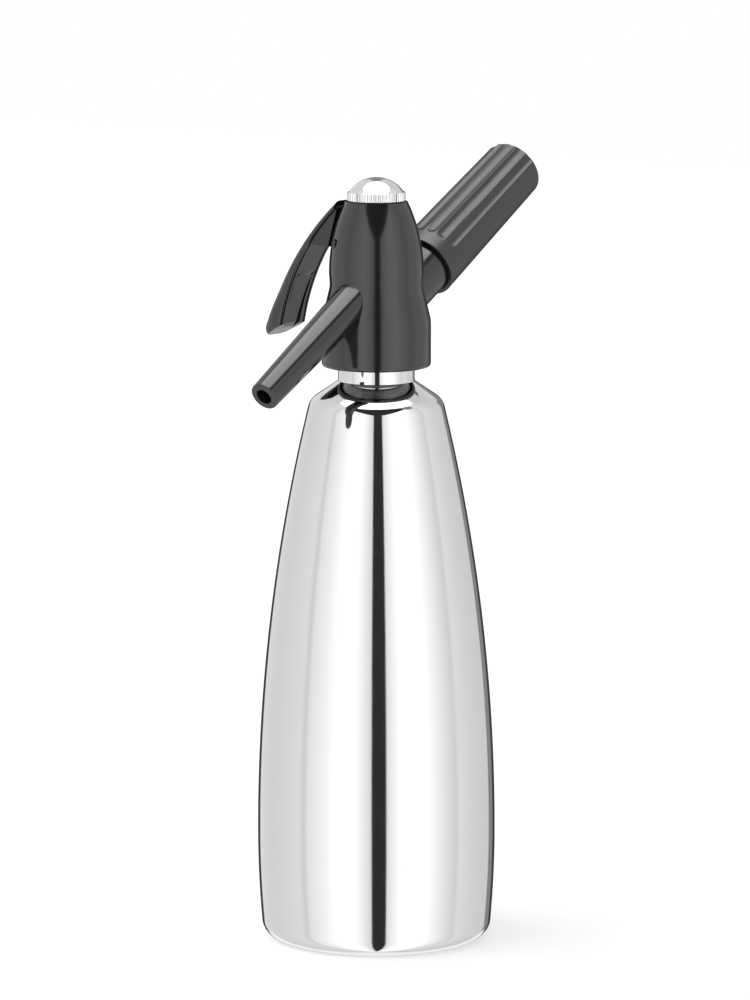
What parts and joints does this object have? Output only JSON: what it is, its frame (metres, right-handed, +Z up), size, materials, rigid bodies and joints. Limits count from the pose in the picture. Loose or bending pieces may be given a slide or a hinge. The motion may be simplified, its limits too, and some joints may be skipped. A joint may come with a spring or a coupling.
{
  "type": "soda siphon",
  "caption": "Tapered polished steel soda siphon with a black screw-on head, spout, squeeze lever and charger holder.",
  "frame": {"origin": "centre of the bottle's foot ring, on the bottle's axis, at the plane it stands on", "axes": "+Z up along the bottle, spout towards -Y, charger holder towards +Y, squeeze lever towards -X"},
  "size_m": [0.1066, 0.1804, 0.3308],
  "materials": {
    "polished_steel": "mirror polished stainless steel",
    "plated_steel": "bright chrome plate",
    "black_plastic": "glossy moulded black plastic",
    "core_metal": "machined, satin",
    "brass": "turned brass",
    "steel": "turned stainless steel",
    "rubber": "moulded rubber",
    "clear_tube": "extruded white plastic",
    "charger_steel": "zinc plated steel"
  },
  "bodies": {
    "bottle": {"bottle": "polished_steel", "neck_ferrule": "polished_steel"},
    "gasket": {"head_gasket": "rubber"},
    "riser": {"dip_tube": "clear_tube", "tube_seal": "rubber"},
    "head": {"valve_body": "core_metal", "valve_seat": "brass", "head_cover": "black_plastic", "gland_nut": "brass", "gland_o_ring": "rubber", "lever_pin": "steel", "spout": "black_plastic", "spout_o_ring": "rubber", "inlet_arm": "black_plastic", "arm_o_ring": "rubber", "piercer_seat": "brass", "piercer_needle": "steel", "piercer_gasket": "rubber", "check_flap": "rubber"},
    "stem": {"valve_stem": "steel", "stem_seal": "rubber", "seal_screw": "steel", "stem_spring": "steel"},
    "lever": {"squeeze_lever": "black_plastic"},
    "cap_seal": {"cap_washer": "rubber"},
    "cap": {"cap_nut": "plated_steel"},
    "charger": {"gas_charger": "charger_steel"},
    "cushion": {"sleeve_cushion": "rubber"},
    "sleeve": {"charger_sleeve": "black_plastic"}
  },
  "joints": [
    {"name": "head_lift_off", "type": "slide", "parent": "bottle", "child": "gasket", "axis": [0, 0, 1], "range_m": [0, 0.25]},
    {"name": "head_rise", "type": "slide", "parent": "gasket", "child": "riser", "axis": [0, 0, 1], "range_m": [0, 0.009]},
    {"name": "head_turn", "type": "hinge", "parent": "riser", "child": "head", "pos_m": [0, 0, 0.25], "axis": [0, 0, 1], "range_deg": [0, 1080]},
    {"name": "lever_press", "type": "hinge", "parent": "head", "child": "lever", "pos_m": [-0.0096, 0, 0.296], "axis": [0, -1, 0], "range_deg": [0, 14], "stiffness_Nm_per_rad": 0.3, "springref_deg": -20.05},
    {"name": "stem_lift", "type": "slide", "parent": "head", "child": "stem", "axis": [0, 0, 1], "range_m": [0, 0.0024], "deforming": ["stem_spring"]},
    {"name": "cap_rise", "type": "slide", "parent": "head", "child": "cap_seal", "axis": [0, 0, 1], "range_m": [0, 0.006]},
    {"name": "cap_turn", "type": "hinge", "parent": "cap_seal", "child": "cap", "pos_m": [0, 0, 0.313], "axis": [0, 0, 1], "range_deg": [0, 1440]},
    {"name": "charger_draw", "type": "slide", "parent": "head", "child": "charger", "axis": [0, 0.866, 0.5], "range_m": [0, 0.09]},
    {"name": "sleeve_advance", "type": "slide", "parent": "charger", "child": "cushion", "axis": [0, 0.866, 0.5], "range_m": [0, 0.02]},
    {"name": "sleeve_turn", "type": "hinge", "parent": "cushion", "child": "sleeve", "pos_m": [0, 0, 0.2644], "axis": [0, 0.866, 0.5], "range_deg": [0, 3600]}
  ],
  "couplings": [
    {"joint": "head_turn", "follows": "head_rise", "rad_per_m": 2094.4},
    {"joint": "stem_lift", "follows": "lever_press", "m_per_rad": 0.0096},
    {"joint": "cap_rise", "follows": "cap_turn", "m_per_rad": 0.00023873},
    {"joint": "sleeve_advance", "follows": "sleeve_turn", "m_per_rad": 0.00031831}
  ]
}
